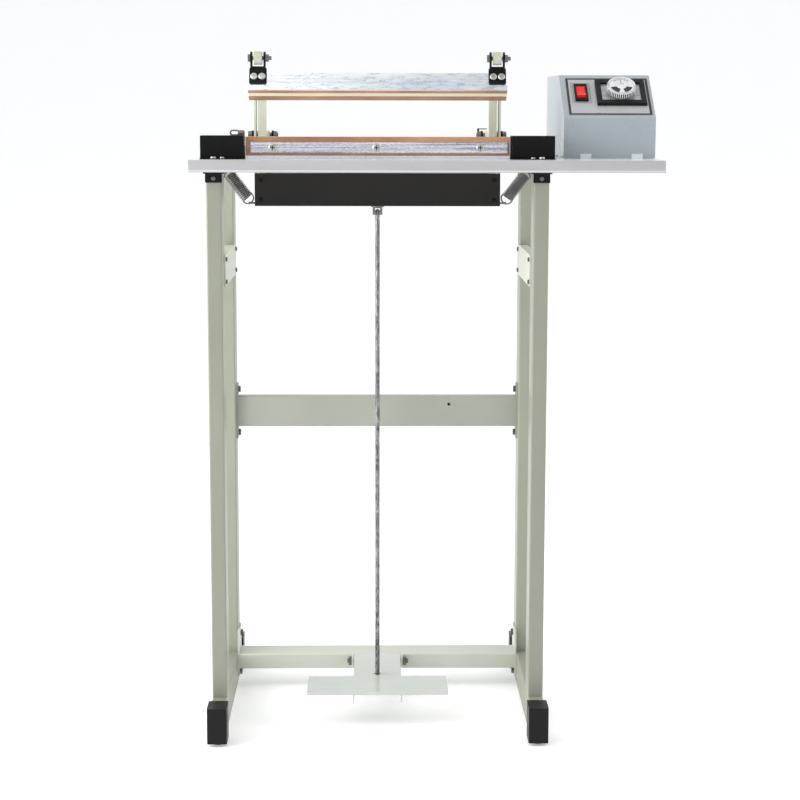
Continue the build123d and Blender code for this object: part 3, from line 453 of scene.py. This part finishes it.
def red_plastic():
    """Glowing translucent red, as with its lamp lit."""
    made = plastic("red_plastic", (0.62, 0.012, 0.004), 0.25, 1500.0, 0.05)
    made.bsdf.inputs["Specular IOR Level"].default_value = 0.3
    made.bsdf.inputs["Emission Color"].default_value = (0.9, 0.03, 0.004, 1)
    made.bsdf.inputs["Emission Strength"].default_value = 0.25
    return made


def transformer_iron():
    """Stacked laminations."""
    made = Shader("transformer_iron", (0.16, 0.16, 0.165), 0.5, 0.7)
    made.vary(0.15, 60.0)
    wave = made.node("ShaderNodeTexWave", wave_type="BANDS", bands_direction="Y")
    made.link(made.where, wave.inputs["Vector"])
    wave.inputs["Scale"].default_value = 320.0
    made.bump(wave.outputs["Fac"], 0.5, 0.0005)
    return made


def clip_paint():
    return paint("clip_paint", (0.72, 0.77, 0.79), 0.3, 1300.0, 0.05)


def dark_pins():
    return metal("dark_pins", (0.22, 0.215, 0.21), 0.38)


# Black for print, and also for the painted shade in the clamp screws' recesses.
def black_print_and_shade():
    return plastic("black_print_and_shade", (0.008, 0.008, 0.009), 0.35, 900.0, 0.03)


SLOT_LOOKS = {
    "laminate": laminate,
    "edge_band": edge_band,
    "leg_paint": leg_paint,
    "brace_paint": brace_paint,
    "black_plastic": black_plastic,
    "zinc_steel": zinc_steel,
    "jaw_aluminium": jaw_aluminium,
    "ptfe_tape": ptfe_tape,
    "nichrome": nichrome,
    "phenolic": phenolic,
    "bright_steel": bright_steel,
    "black_paint": black_paint,
    "silicone": silicone,
    "arm_paint": arm_paint,
    "spring_steel": spring_steel,
    "nylon": nylon,
    "rod_steel": rod_steel,
    "pedal_paint": pedal_paint,
    "box_paint": box_paint,
    "faceplate": faceplate,
    "clear_plastic": clear_plastic,
    "silver_plastic": silver_plastic,
    "red_plastic": red_plastic,
    "transformer_iron": transformer_iron,
}
NODE_LOOKS = {
    "clamp_strip": clamp_aluminium,
    "frame_bolts": dark_bolts,
    "yoke_channel": yoke_paint,
    "yoke_screws": black_paint,
    "spring_hooks": spring_steel,
    "spring_anchors": dark_pins,
    "pivot_pins": dark_pins,
    "roller_axles": dark_pins,
    "rod_clevis": dark_pins,
    "pedal_hinge_pin": dark_bolts,
    "pull_rod_nuts": dark_bolts,
    "ribbon_tensioner": dark_pins,
    "mid_cross_bar": bar_paint_relit,
    "left_rear_leg": rear_leg_paint_relit,
    "right_rear_leg": rear_leg_paint_relit,
    "control_box_base": clip_paint,
    "timer_dial_plate": dial_plate,
}


def dress_frame(looks):
    """Give every carried-over CAD node the look of its slot, or its own."""
    slots = {entry["node"]: entry["material_slot"] for entry in frame["record"]["subparts"]}
    for node, obj in frame["nodes"].items():
        look = NODE_LOOKS.get(node) or SLOT_LOOKS[slots[node]]
        if look.__name__ not in looks:
            looks[look.__name__] = look().mat
        obj.data.materials.clear()
        obj.data.materials.append(looks[look.__name__])


# ---------------------------------------------------------------- piece tools
def piece(name, mesh, material, body, smooth=True):
    obj = bpy.data.objects.new(name, mesh)
    bpy.context.scene.collection.objects.link(obj)
    mesh.materials.clear()
    mesh.materials.append(material)
    for polygon in mesh.polygons:
        polygon.use_smooth = smooth
    if body:
        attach(obj, body)
    return obj


def to_mesh(name, mesh_maker):
    bmesh.ops.recalc_face_normals(mesh_maker, faces=mesh_maker.faces[:])
    mesh = bpy.data.meshes.new(name)
    mesh_maker.to_mesh(mesh)
    mesh_maker.free()
    return mesh


def tube_mesh(name, path, radius, sides=10):
    """Round wire along a list of points, closed flat at both ends."""
    mesh_maker = bmesh.new()
    rings = []
    side = None
    for index, point in enumerate(path):
        before = path[max(index - 1, 0)]
        after = path[min(index + 1, len(path) - 1)]
        along = (after - before).normalized()
        if side is None:
            helper = Vector((0, 1, 0)) if abs(along.y) < 0.9 else Vector((1, 0, 0))
            side = along.cross(helper).normalized()
        side = (side - along * side.dot(along)).normalized()
        up = along.cross(side)
        ring = []
        for step in range(sides):
            angle = 2 * math.pi * step / sides
            spoke = side * math.cos(angle) + up * math.sin(angle)
            ring.append(mesh_maker.verts.new(point + radius * spoke))
        rings.append(ring)
    for ring, following in zip(rings, rings[1:]):
        for step in range(sides):
            other = (step + 1) % sides
            mesh_maker.faces.new((ring[step], ring[other], following[other], following[step]))
    mesh_maker.faces.new(list(reversed(rings[0])))
    mesh_maker.faces.new(rings[-1])
    return to_mesh(name, mesh_maker)


# ---------------------------------------------------------------- return springs
# Radius of the wire, radius of the coil to the wire's middle, and rise of one turn.
WIRE = 0.00105
COIL = 0.0089
PITCH = 0.0027
TURN_STEPS = 18
# Each hook is an arc of so many half turns. The upper one is flattened against the table.
LOWER_HOOK, LOWER_HOOK_STEPS = 1.35, 16
UPPER_HOOK, UPPER_HOOK_STEPS = 1.25, 14
UPPER_HOOK_FLAT = 0.55
EYE_GAP = 0.001
# Where the eyes are: in from the outer edge of the yoke's hooks, and of the anchors under the table.
YOKE_EYE_IN = 0.0045
ANCHOR_EYE_IN = 0.013
ANCHOR_EYE_DOWN = 0.0034


def spring_path(low_eye, high_eye):
    """Close-wound coil between two half-round hooks that reach the eyes."""
    axis = (high_eye - low_eye).normalized()
    back = Vector((0, 1, 0))
    side = axis.cross(back).normalized()
    start = low_eye + axis * (COIL + EYE_GAP)
    end = high_eye - axis * (COIL * UPPER_HOOK_FLAT + EYE_GAP)
    length = (end - start).length
    points = []
    for step in range(LOWER_HOOK_STEPS + 1):
        angle = math.pi * LOWER_HOOK * (1 - step / LOWER_HOOK_STEPS)
        points.append(start + COIL * (side * math.cos(angle) - axis * math.sin(angle)))
    steps = int(length / PITCH) * TURN_STEPS
    for step in range(1, steps + 1):
        angle = 2 * math.pi * step / TURN_STEPS
        along = start + axis * length * step / steps
        points.append(along + COIL * (side * math.cos(angle) + back * math.sin(angle)))
    for step in range(1, UPPER_HOOK_STEPS + 1):
        angle = math.pi * UPPER_HOOK * step / UPPER_HOOK_STEPS
        rise = axis * math.sin(angle) * UPPER_HOOK_FLAT
        points.append(end + COIL * (side * math.cos(angle) + rise))
    return points


def springs(looks):
    hooks_low, hooks_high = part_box("spring_hooks")
    anchors_low, anchors_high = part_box("spring_anchors")
    hook_z = (hooks_low.z + hooks_high.z) / 2
    anchor_z = anchors_high.z - ANCHOR_EYE_DOWN
    sides = {
        "left": (hooks_low.x + YOKE_EYE_IN, anchors_low.x + ANCHOR_EYE_IN),
        "right": (hooks_high.x - YOKE_EYE_IN, anchors_high.x - ANCHOR_EYE_IN),
    }
    for name, (hook_x, anchor_x) in sides.items():
        node = f"{name}_return_spring"
        low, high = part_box(node)
        eye_y = (low.y + high.y) / 2
        low_eye = Vector((hook_x, eye_y, hook_z))
        high_eye = Vector((anchor_x, eye_y, anchor_z))
        mesh = tube_mesh(f"{name}_coil", spring_path(low_eye, high_eye), WIRE)
        coil = piece(f"{name}_spring_coil", mesh, looks["spring_steel"], None)
        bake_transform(coil)
        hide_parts(node)


# ---------------------------------------------------------------- timer and faceplate
KNOB_WALL = 0.0021
KNOB_FLOOR = 0.0014
KNOB_FOOT = 0.0004
RIM_ROUND = 0.0009
RIM_STEPS = 5
DISH_DEPTH = 0.0030
SHAFT_RADIUS = 0.0031
FACE_SIDES = 96
# Print stands a hair above the face that it is on, and starts below it.
PRINT_RISE = 0.00006
PRINT_DEPTH = 0.0002
# The knob's dark marks: inner radius, outer radius, and angles in degrees from the right.
SECTOR = (0.0078, 0.0168)
SECTOR_STARTS = (-74, -168)
SECTOR_SWEEP = 62
DASH = (0.0150, 0.0172)
DASHES, DASH_START, DASH_STEP, DASH_SWEEP = 9, 46, 10.0, 4.0
POINTER = (0.0088, 0.0138)
POINTER_HALF = 2.0
MARK_RISE = 0.0002
MARK_DEPTH = 0.0006
# The faceplate's border, and the two lines round the rocker: gap to what they go round, and width.
BORDER_WIDTH = 0.0036
BORDER_GAP = -0.0002
ROCKER_LINES = ((0.0042, 0.0006), (0.0016, 0.0005))
# The dial's scale: every third line is a long one, and lines that the window cuts are left out.
TICKS, TICK_START, TICK_STEP = 28, 225, 10
TICK_INNER, SHORT_TICK, LONG_TICK = 0.0232, 0.0262, 0.0285
SHORT_TICK_HALF, LONG_TICK_HALF = 0.5, 0.9
WINDOW_ACROSS, WINDOW_UP = 0.0292, 0.0212


class Panel:
    """The sloping face: x to the right, up along the slope, out from it, from the knob's centre."""

    def __init__(self):
        turn = joint("timer_turn")
        self.centre = Vector(turn["pos_m"])
        self.out = -Vector(turn["axis"]).normalized()
        self.right = Vector((1, 0, 0))
        self.up = self.out.cross(self.right)

    def at(self, x, up, out):
        return self.centre + self.right * x + self.up * up + self.out * out

    def extent(self, node, direction):
        """Lowest and highest place of a CAD node along one of the panel's directions."""
        vertices = frame["nodes"][node].data.vertices
        places = [(vertex.co - self.centre).dot(direction) for vertex in vertices]
        return min(places), max(places)

    def reach(self, node):
        """A CAD node's extent over the panel: (left, right), (bottom, top)."""
        return self.extent(node, self.right), self.extent(node, self.up)

    def surface(self, node):
        """How far out a CAD node's face is."""
        return self.extent(node, self.out)[1]


def plain(*corners):
    """Corners of (radius, out) without grooves."""
    return [(radius, out, 0.0) for radius, out in corners]


def rim(centre_radius, centre_out, start, end):
    """Corners along a quarter of the knob's rounded rim, angles in degrees from straight outward."""
    corners = []
    for step in range(RIM_STEPS + 1):
        angle = math.radians(start + (end - start) * step / RIM_STEPS)
        radius = centre_radius + RIM_ROUND * math.cos(angle)
        corners.append((radius, centre_out + RIM_ROUND * math.sin(angle), 0.0))
    return corners


def turned(name, panel, outline, sides):
    """A closed outline of (radius, out, groove depth) corners, turned about the knob's axis."""
    mesh_maker = bmesh.new()
    rings = []
    for radius, out, groove in outline:
        ring = []
        for step in range(sides):
            angle = 2 * math.pi * step / sides
            reach = radius - groove * 0.5 * (1 - math.cos(FLUTES * angle))
            spot = panel.at(reach * math.cos(angle), reach * math.sin(angle), out)
            ring.append(mesh_maker.verts.new(spot))
        rings.append(ring)
    for ring, following in zip(rings, rings[1:] + rings[:1]):
        for step in range(sides):
            other = (step + 1) % sides
            mesh_maker.faces.new((ring[step], ring[other], following[other], following[step]))
    return to_mesh(name, mesh_maker)


def clear_knob(looks, panel):
    """Hollow clear cup: fluted skirt, smooth rounded rim, and a floor with a hole for the shaft."""
    left, right = panel.extent("timer_knob", panel.right)
    low, high = panel.extent("timer_knob", panel.out)
    radius = (right - left) / 2
    inner = radius - KNOB_WALL
    floor = high - DISH_DEPTH
    under = floor - KNOB_FLOOR
    outline = plain((radius - KNOB_FOOT, low))
    for out in (low + KNOB_FOOT, low + 0.3 * (high - low), high - 0.0032):
        outline.append((radius, out, FLUTE_DEPTH))
    outline += plain((radius, high - 0.0026))
    outline += rim(radius - RIM_ROUND, high - RIM_ROUND, 0, 90)
    outline += rim(inner + RIM_ROUND, high - RIM_ROUND, 90, 180)
    outline += plain((inner - 0.0001, floor + 0.0006), (inner - 0.0007, floor), (SHAFT_RADIUS, floor))
    outline += plain((SHAFT_RADIUS, under), (inner - 0.0012, under))
    outline += plain((inner - 0.0002, floor - 0.0024), (inner, low))
    mesh = turned("timer_knob_clear", panel, outline, FLUTES * 8)
    knob = piece("timer_knob_clear", mesh, looks["clear_plastic"], "timer_knob")
    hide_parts("timer_knob")
    return inner, floor, high


def silver_face(looks, panel, inner, floor, high):
    """Plated face inside the knob: a dished ring, a raised cone and a small flat top."""
    hole = 0.0004
    top = high - 0.0002
    low = floor + 0.0001
    outer = inner - 0.0008
    level = low + 0.0009
    outline = plain((hole, low), (outer, low), (outer, low + 0.0008))
    outline += plain((outer - 0.0006, low + 0.0012), (outer - 0.0018, level))
    outline += plain((0.0074, low + 0.0008), (0.0066, low + 0.0011))
    outline += plain((0.0022, top - 0.0004), (0.0014, top), (hole, top))
    mesh = turned("timer_knob_face", panel, outline, FACE_SIDES)
    face = piece("timer_knob_face", mesh, looks["silver_plastic"], "timer_knob")
    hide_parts("knob_insert")
    return level


def slab(mesh_maker, panel, corners, low, high):
    """Closed flat plate of the given outline on the panel, between two levels."""
    under = [mesh_maker.verts.new(panel.at(x, up, low)) for x, up in corners]
    over = [mesh_maker.verts.new(panel.at(x, up, high)) for x, up in corners]
    mesh_maker.faces.new(list(reversed(under)))
    mesh_maker.faces.new(over)
    for step in range(len(corners)):
        other = (step + 1) % len(corners)
        mesh_maker.faces.new((under[step], under[other], over[other], over[step]))


def ring_part(span, start, end, steps):
    """Outline of a piece of a flat ring, from its two radii and two angles in degrees."""
    inner, outer = span
    angles = [math.radians(start + (end - start) * step / steps) for step in range(steps + 1)]
    far = [(outer * math.cos(angle), outer * math.sin(angle)) for angle in angles]
    near = [(inner * math.cos(angle), inner * math.sin(angle)) for angle in reversed(angles)]
    return far + near


def knob_marks(looks, panel, level):
    """Two dark sectors low on the plated face, a row of dark dashes, and the pointer at the top."""
    mesh_maker = bmesh.new()
    low, high = level - MARK_DEPTH, level + MARK_RISE
    for start in SECTOR_STARTS:
        slab(mesh_maker, panel, ring_part(SECTOR, start, start + SECTOR_SWEEP, 14), low, high)
    for step in range(DASHES):
        start = DASH_START + step * DASH_STEP
        slab(mesh_maker, panel, ring_part(DASH, start, start + DASH_SWEEP, 3), low, high)
    slab(mesh_maker, panel, ring_part(POINTER, 90 - POINTER_HALF, 90 + POINTER_HALF, 2), low, high)
    mesh = to_mesh("timer_knob_marks", mesh_maker)
    piece("timer_knob_marks", mesh, looks["black_print_and_shade"], "timer_knob", smooth=False)


def outlined(mesh_maker, panel, span, gap, width, low, high):
    """Four mitred strips that go round a rectangle at a gap, as wide as given, inward."""
    (left, right), (bottom, top) = span
    loops = []
    for grow in (gap, gap - width):
        loops.append(
            [
                (left - grow, bottom - grow),
                (right + grow, bottom - grow),
                (right + grow, top + grow),
                (left - grow, top + grow),
            ]
        )
    outer, inner = loops
    for step in range(4):
        other = (step + 1) % 4
        slab(mesh_maker, panel, [outer[step], outer[other], inner[other], inner[step]], low, high)


def faceplate_print(looks, panel):
    """Black border of the faceplate, and fine lines round the rocker."""
    level = panel.surface("control_faceplate")
    low, high = level - PRINT_DEPTH, level + PRINT_RISE
    mesh_maker = bmesh.new()
    plate = panel.reach("control_faceplate")
    outlined(mesh_maker, panel, plate, BORDER_GAP, BORDER_WIDTH, low, high)
    rocker = panel.reach("rocker_housing")
    for gap, width in ROCKER_LINES:
        outlined(mesh_maker, panel, rocker, gap, width, low, high)
    mesh = to_mesh("faceplate_print", mesh_maker)
    piece("faceplate_print", mesh, looks["black_print_and_shade"], "frame", smooth=False)


def dial_ticks(looks, panel):
    """Scale lines on the dial plate, from lower left round over the top to lower right."""
    level = panel.surface("timer_dial_plate")
    mesh_maker = bmesh.new()
    for step in range(TICKS):
        angle = TICK_START - step * TICK_STEP
        is_long = step % 3 == 0
        far = LONG_TICK if is_long else SHORT_TICK
        half = LONG_TICK_HALF if is_long else SHORT_TICK_HALF
        across = far * abs(math.cos(math.radians(angle)))
        up = far * abs(math.sin(math.radians(angle)))
        if across <= WINDOW_ACROSS and up <= WINDOW_UP:
            outline = ring_part((TICK_INNER, far), angle - half, angle + half, 2)
            slab(mesh_maker, panel, outline, level - PRINT_DEPTH, level + PRINT_RISE)
    mesh = to_mesh("dial_ticks", mesh_maker)
    piece("dial_ticks", mesh, looks["black_print_and_shade"], "frame", smooth=False)


def timer_pieces(looks):
    panel = Panel()
    inner, floor, high = clear_knob(looks, panel)
    level = silver_face(looks, panel, inner, floor, high)
    knob_marks(looks, panel, level)
    faceplate_print(looks, panel)
    dial_ticks(looks, panel)


# ---------------------------------------------------------------- clamp screws, with painted shade in their recesses
# Black bars of painted shade in the screw recesses: half width, length as a share of the head, depth into the
# head, and rise above it.
SLOT_SHADE_HALF = 0.00065
SLOT_SHADE_LENGTH = 0.30
SLOT_SHADE_DEPTH = 0.0008
SLOT_SHADE_RISE = 0.00005
SCREW_GAP = 0.01


def screw_boxes(node, gap):
    """Boxes of a node's screws, told apart by the gaps between them along x."""
    vertices = frame["nodes"][node].data.vertices
    places = sorted((vertex.co for vertex in vertices), key=lambda place: place.x)
    groups = [[places[0]]]
    for place in places[1:]:
        if place.x - groups[-1][-1].x > gap:
            groups.append([])
        groups[-1].append(place)
    boxes = []
    for group in groups:
        low = Vector([min(place[axis] for place in group) for axis in range(3)])
        high = Vector([max(place[axis] for place in group) for axis in range(3)])
        boxes.append((low, high))
    return boxes


def bar(mesh_maker, x, z, half_x, half_z, near_y, far_y):
    """Closed bar that runs back from near_y to far_y."""
    rings = []
    for y in (near_y, far_y):
        turns = ((-1, -1), (1, -1), (1, 1), (-1, 1))
        rings.append([mesh_maker.verts.new((x + a * half_x, y, z + b * half_z)) for a, b in turns])
    near, far = rings
    mesh_maker.faces.new(near)
    mesh_maker.faces.new(list(reversed(far)))
    for step in range(4):
        other = (step + 1) % 4
        mesh_maker.faces.new((near[step], far[step], far[other], near[other]))


def clamp_screw_slot_shade(looks):
    """Painted shade: a black cross in the head of each clamp screw, where its recess lies in shade."""
    mesh_maker = bmesh.new()
    for low, high in screw_boxes("clamp_screws", SCREW_GAP):
        x, z = (low.x + high.x) / 2, (low.z + high.z) / 2
        length = (high.z - low.z) * SLOT_SHADE_LENGTH
        for half_x, half_z in ((length, SLOT_SHADE_HALF), (SLOT_SHADE_HALF, length)):
            bar(mesh_maker, x, z, half_x, half_z, low.y - SLOT_SHADE_RISE, low.y + SLOT_SHADE_DEPTH)
    mesh = to_mesh("clamp_screw_slot_shade", mesh_maker)
    piece("clamp_screw_slot_shade", mesh, looks["black_print_and_shade"], "frame", smooth=False)


# ---------------------------------------------------------------- stage
STAGE_HALF = 30.0
COVE_START = 6.0
COVE = 5.0
COVE_STEPS = 12
FLOOR_GLOW = 0.24
# The room's colour in front of the machine, and how soon it turns to white towards the back.
ROOM_FRONT = (0.43, 0.45, 0.48)
ROOM_SHIFT = 0.55
ROOM_TURN = 0.12


def stage():
    """White floor that runs up into a far white wall by a wide cove, so that no horizon shows."""
    mesh_maker = bmesh.new()
    profile = [(-STAGE_HALF, 0.0), (COVE_START, 0.0)]
    for step in range(1, COVE_STEPS + 1):
        angle = math.pi / 2 * step / COVE_STEPS
        profile.append((COVE_START + COVE * math.sin(angle), COVE * (1 - math.cos(angle))))
    profile.append((COVE_START + COVE, STAGE_HALF))
    rows = []
    for y, z in profile:
        rows.append([mesh_maker.verts.new((x, y, z)) for x in (-STAGE_HALF, STAGE_HALF)])
    for row, following in zip(rows, rows[1:]):
        mesh_maker.faces.new((row[0], row[1], following[1], following[0]))
    mesh = to_mesh("floor", mesh_maker)
    for polygon in mesh.polygons:
        polygon.use_smooth = True
    floor = bpy.data.objects.new("floor", mesh)
    bpy.context.scene.collection.objects.link(floor)
    pale = bpy.data.materials.new("floor")
    pale.use_nodes = True
    shader = pale.node_tree.nodes["Principled BSDF"]
    shader.inputs["Base Color"].default_value = (0.93, 0.93, 0.93, 1)
    shader.inputs["Roughness"].default_value = 0.95
    shader.inputs["Specular IOR Level"].default_value = 0.1
    shader.inputs["Emission Color"].default_value = (1, 1, 1, 1)
    shader.inputs["Emission Strength"].default_value = FLOOR_GLOW
    mesh.materials.append(pale)


def area_light(name, at, toward, size, power):
    data = bpy.data.lights.new(name, "AREA")
    data.shape = "RECTANGLE"
    data.size, data.size_y = size
    data.energy = power
    obj = bpy.data.objects.new(name, data)
    bpy.context.scene.collection.objects.link(obj)
    obj.location = at
    obj.rotation_euler = (Vector(toward) - Vector(at)).to_track_quat("-Z", "Y").to_euler()


def lights():
    """Room that is white behind and dimmer in front, a soft light on each side, one above in front."""
    bpy.context.scene.view_settings.view_transform = "Standard"
    world = bpy.data.worlds.new("studio")
    bpy.context.scene.world = world
    world.use_nodes = True
    tree = world.node_tree
    back = tree.nodes["Background"]
    where = tree.nodes.new("ShaderNodeTexCoord")
    split = tree.nodes.new("ShaderNodeSeparateXYZ")
    ramp = tree.nodes.new("ShaderNodeValToRGB")
    ramp.color_ramp.elements[0].position = 0.0
    ramp.color_ramp.elements[0].color = (*ROOM_FRONT, 1)
    ramp.color_ramp.elements[1].position = ROOM_TURN
    ramp.color_ramp.elements[1].color = (1, 1, 1, 1)
    shift = tree.nodes.new("ShaderNodeMath")
    shift.operation = "ADD"
    shift.inputs[1].default_value = ROOM_SHIFT
    tree.links.new(where.outputs["Generated"], split.inputs[0])
    tree.links.new(split.outputs["Y"], shift.inputs[0])
    tree.links.new(shift.outputs[0], ramp.inputs["Fac"])
    tree.links.new(ramp.outputs["Color"], back.inputs["Color"])
    back.inputs["Strength"].default_value = 1.0
    area_light("left_box", (-2.3, -0.7, 1.2), (0, 0, 0.6), (2.0, 2.2), 66)
    area_light("right_box", (2.3, -0.3, 1.2), (0, 0, 0.6), (1.8, 2.2), 20)
    area_light("top_box", (-0.95, -1.7, 2.6), (-0.1, 0, 0.95), (1.1, 0.6), 9)


# ---------------------------------------------------------------- everything
def build():
    looks = {}
    dress_frame(looks)
    looks["black_print_and_shade"] = black_print_and_shade().mat
    springs(looks)
    timer_pieces(looks)
    clamp_screw_slot_shade(looks)
    camera()
    stage()
    lights()


build()
